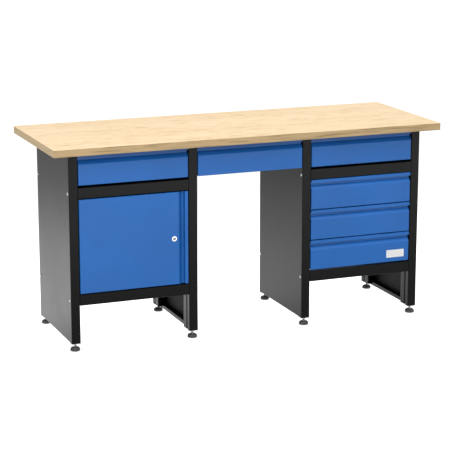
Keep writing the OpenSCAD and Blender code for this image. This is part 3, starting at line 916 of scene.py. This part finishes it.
class BENCH_OT_fasteners(BenchOperator):
    """Build the frame's bolts and nuts, the worktop screws and the feet's lock nuts"""

    bl_idname = "bench.fasteners"
    bl_label = "Bolts, nuts and screws"

    def make(self):
        s = sizes()
        zinc = finish("zinc_plate")
        bolts, nuts = [], []
        length = post_width() + 2 * s.frame_gauge + 0.006
        for origin, way in self.bolt_places():
            ez = way * X
            bolts.append(button_bolt(0.003, 0.0065, 0.0035, length, origin, Y, Z, ez))
            seat = self.nut_seat(origin, way)
            nuts.append(hex_nut(0.005, 0.0031, 0.005, seat, Y, Z, ez))
        build("button_bolts", bolts, zinc, "frame", ["frame_bolts"])
        build("hex_nuts", nuts, zinc, "frame", ["frame_nuts"])
        low, high, _ = extent("worktop_screws")
        board = extent("worktop")[0][2]
        screws, head, seat = [], 0.005, board - s.frame_gauge
        for panel in PANELS:
            outer, inward = panel_face(panel)
            for y in np.linspace(low[1] + head, high[1] - head, 3):
                origin = [outer + inward * (s.panel_flange / 2 + 0.001), y, seat]
                screws.append(button_bolt(0.0024, head, 0.0025, high[2] - seat, origin, X, Y, Z))
        build("top_screws", screws, zinc, "frame", ["worktop_screws"])
        low, high, _ = extent("foot_nuts")
        lock_nuts = []
        for panel in PANELS:
            for end in FOOT_ENDS:
                middle = extent(f"foot_{panel}_{end}")[2]
                origin = [middle[0], middle[1], low[2]]
                lock_nuts.append(hex_nut(0.0082, 0.0051, high[2] - low[2], origin, X, Y, Z))
        build("foot_lock_nuts", lock_nuts, zinc, "frame", ["foot_nuts"])

    def nut_seat(self, origin, way):
        """Where the nut's seat is: past the post and one sheet, or two on the beam's bolts."""
        gauge = sizes().frame_gauge
        inside = abs(abs(origin[0]) - extent("right_inner_panel")[1][0]) < 2 * gauge + 1e-6
        return np.array(origin) + way * X * (post_width() + (2 if inside else 1) * gauge)

    def bolt_places(self):
        """The middle of each head's seat and the way the shank points: every panel has four, at
        the heights of the rails, and the beam has four."""
        rail = extent("left_upper_rail")
        depth = rail[1][1] - rail[0][1]
        low, high, _ = extent("left_outer_panel")
        rows = (low[1] + depth / 2, high[1] - depth / 2)
        levels = (extent("left_lower_rail")[2][2], rail[2][2])
        found = []
        for panel in PANELS:
            outer, inward = panel_face(panel)
            for y in rows:
                for z in levels:
                    found.append(([outer, y, z], inward))
        beam_low, beam_high, _ = extent("rear_beam")
        rise = (beam_high[2] - beam_low[2]) / 4
        seat = extent("right_inner_panel")[1][0] + sizes().frame_gauge
        for side in (1, -1):
            for z in (beam_low[2] + rise, beam_high[2] - rise):
                found.append(([side * seat, rows[1], z], -side))
        return found


class BENCH_OT_feet(BenchOperator):
    """Build the eight levelling feet: a moulded pad and a threaded stud each"""

    bl_idname = "bench.feet"
    bl_label = "Levelling feet"

    def make(self):
        s = sizes()
        for panel in PANELS:
            for end in FOOT_ENDS:
                node = f"foot_{panel}_{end}"
                low, high, middle = extent(node)
                radius = (high[0] - low[0]) / 2
                top = low[2] + s.pad_height
                origin = [middle[0], middle[1], low[2]]
                pad = turned(self.pad_profile(radius, top), origin, X, Y, Z, 48)
                body = node + "_leveller"
                build(f"pad_{panel}_{end}", [pad], finish("pad_plastic"), body, [node])
                stud = threaded(0.005, s.thread_pitch, top - 0.004, high[2], origin)
                build(f"stud_{panel}_{end}", [stud], finish("zinc_plate"), body)

    def pad_profile(self, radius, top):
        """Foot edge with a small round, a flat rim, an arc that curves in to the neck, and a
        shallow dish round the stud."""
        angle, edge = np.linspace(0, math.pi / 2, 9), 0.0016
        foot = np.stack([radius - edge + edge * np.sin(angle), edge - edge * np.cos(angle)], 1)
        neck = 0.62 * radius
        shoulder_r = neck + (radius - neck) * np.cos(angle)
        shoulder_z = 0.005 + (top - 0.0065) * np.sin(angle) ** 0.9
        shoulder = np.stack([shoulder_r, shoulder_z], 1)
        cap = [[neck - 0.0015, top], [0.0072, top], [0.0064, top - 0.0008], [0.0045, top - 0.0008]]
        return np.vstack([[[0.002, 0.0004], [0.012, 0.0004], [0.0125, 0]], foot, shoulder, cap])


class BENCH_OT_stage(BenchOperator):
    """Make the floor, the studio light and the camera"""

    bl_idname = "bench.stage"
    bl_label = "Stage"

    reach: bpy.props.FloatProperty(name="Floor reach", default=60.0, unit="LENGTH")
    lens: bpy.props.FloatProperty(name="Lens", default=136.9, unit="CAMERA")
    camera_place: bpy.props.FloatVectorProperty(
        name="Camera", default=(-2.669, -6.666, 2.097), subtype="TRANSLATION"
    )
    heading: bpy.props.FloatProperty(name="Heading", default=math.radians(21.78), subtype="ANGLE")
    tilt: bpy.props.FloatProperty(name="Tilt", default=math.radians(-13.33), subtype="ANGLE")

    def make(self):
        self.make_floor()
        self.make_world()
        self.make_light("softbox_above", (0.3, -1.2, 4.2), (0, 0, 0.5), (4.5, 3.0), 80)
        self.make_light("softbox_front", (-3.3, -3.7, 3.2), (0, 0, 0.5), (3.0, 2.0), 95)
        self.make_camera()

    def make_floor(self):
        """White paper that gives off light, so it shows hardly any shadow. It is brightest far in
        front and just behind the bench, and darkest far back where the camera sees none of it.
        It is left out of the light that matt surfaces gather."""
        mesh = bpy.data.meshes.new("floor")
        corners = np.array([(-1, -1, 0), (1, -1, 0), (1, 1, 0), (-1, 1, 0)]) * self.reach
        mesh.from_pydata(corners, [], [(0, 1, 2, 3)])
        paper = Finish("studio_floor", "")
        back, across = paper.along("Y"), paper.along("X")
        eye = self.camera_place
        view_edge = math.tan(self.heading - math.radians(8.5))
        aside = across - eye[0] - (back - eye[1]) * view_edge
        unseen = 1 - paper.level(aside, -0.4, 0.0)
        ahead = paper.blend(paper.level(back, -3.5, -0.3), (2.8,) * 3, (1.06,) * 3)
        behind = paper.blend(paper.level(back, 0.5, 2.5), (1.85,) * 3, (1.06,) * 3)
        far = paper.blend(paper.level(back, 0.5, 3.6), (1.85,) * 3, (0.62,) * 3)
        behind = paper.blend(unseen, behind, far)
        near = paper.blend(paper.level(back, -0.3, 0.4), ahead, behind)
        grain = paper.noise(9, 2.0)
        tint = np.array(colours().floor) * 0.05
        shade = paper.blend(grain, tuple(tint * 0.98), tuple(tint))
        paper.shade(
            Base_Color=shade,
            Roughness=0.9,
            Specular_IOR_Level=0.0,
            Emission_Color=near,
            Emission_Strength=1.0,
        )
        mesh.materials.append(paper.material)
        floor = bpy.data.objects.new("floor", mesh)
        bpy.context.scene.collection.objects.link(floor)
        floor.visible_diffuse = False

    def make_world(self):
        """A white room, darker below the horizon: it takes the place of the floor for matt
        surfaces."""
        world = bpy.data.worlds.new("studio")
        room = Nodes(world)
        up = room.level(room.along("Z", "Generated"), -0.15, 0.35)
        shade = room.blend(up, (0.26,) * 3, (0.86,) * 3)
        light = room.node("ShaderNodeBackground", {}, {"Color": shade, "Strength": 1.0})
        room.node("ShaderNodeOutputWorld", {}, {"Surface": light}, out=None)
        bpy.context.scene.world = world
        bpy.context.scene.view_settings.view_transform = "Standard"

    def make_light(self, name, where, target, size, power):
        lamp = bpy.data.lights.new(name, "AREA")
        lamp.shape = "RECTANGLE"
        lamp.size, lamp.size_y = size
        lamp.energy = power
        light = bpy.data.objects.new(name, lamp)
        light.location = where
        aim = Vector(target) - Vector(where)
        light.rotation_euler = aim.to_track_quat("-Z", "Y").to_euler()
        bpy.context.scene.collection.objects.link(light)

    def make_camera(self):
        data = bpy.data.cameras.new("camera")
        data.sensor_width = 36.0
        data.lens = self.lens
        data.clip_end = 300.0
        camera = bpy.data.objects.new("camera", data)
        camera.location = self.camera_place
        camera.rotation_euler = (math.pi / 2 + self.tilt, 0, -self.heading)
        bpy.context.scene.collection.objects.link(camera)
        bpy.context.scene.camera = camera


STEPS = (
    BENCH_OT_worktop,
    BENCH_OT_side_panels,
    BENCH_OT_front_rails,
    BENCH_OT_backs,
    BENCH_OT_uprights,
    BENCH_OT_cupboard,
    BENCH_OT_drawer_fronts,
    BENCH_OT_drawer_trays,
    BENCH_OT_slides,
    BENCH_OT_door,
    BENCH_OT_lock,
    BENCH_OT_label,
    BENCH_OT_fasteners,
    BENCH_OT_feet,
    BENCH_OT_stage,
)


class BENCH_PT_sidebar(bpy.types.Panel):
    """The steps of the build, and the sizes and colours"""

    bl_idname = "BENCH_PT_sidebar"
    bl_label = "Workbench"
    bl_space_type = "VIEW_3D"
    bl_region_type = "UI"
    bl_category = "Workbench"

    def draw(self, context):
        for step in STEPS:
            self.layout.operator(step.bl_idname)
        for group in (context.scene.bench_sizes, context.scene.bench_colours):
            for name in group.bl_rna.properties.keys():
                if name not in ("rna_type", "name"):
                    self.layout.prop(group, name)


CLASSES = (BenchSizes, BenchColours, *STEPS, BENCH_PT_sidebar)


def register():
    for cls in CLASSES:
        bpy.utils.register_class(cls)
    bpy.types.Scene.bench_sizes = bpy.props.PointerProperty(type=BenchSizes)
    bpy.types.Scene.bench_colours = bpy.props.PointerProperty(type=BenchColours)


def unregister():
    del bpy.types.Scene.bench_colours
    del bpy.types.Scene.bench_sizes
    for cls in reversed(CLASSES):
        bpy.utils.unregister_class(cls)


def main():
    register()
    for step in STEPS:
        group, name = step.bl_idname.split(".")
        getattr(getattr(bpy.ops, group), name)()


if __name__ == "__main__":
    main()
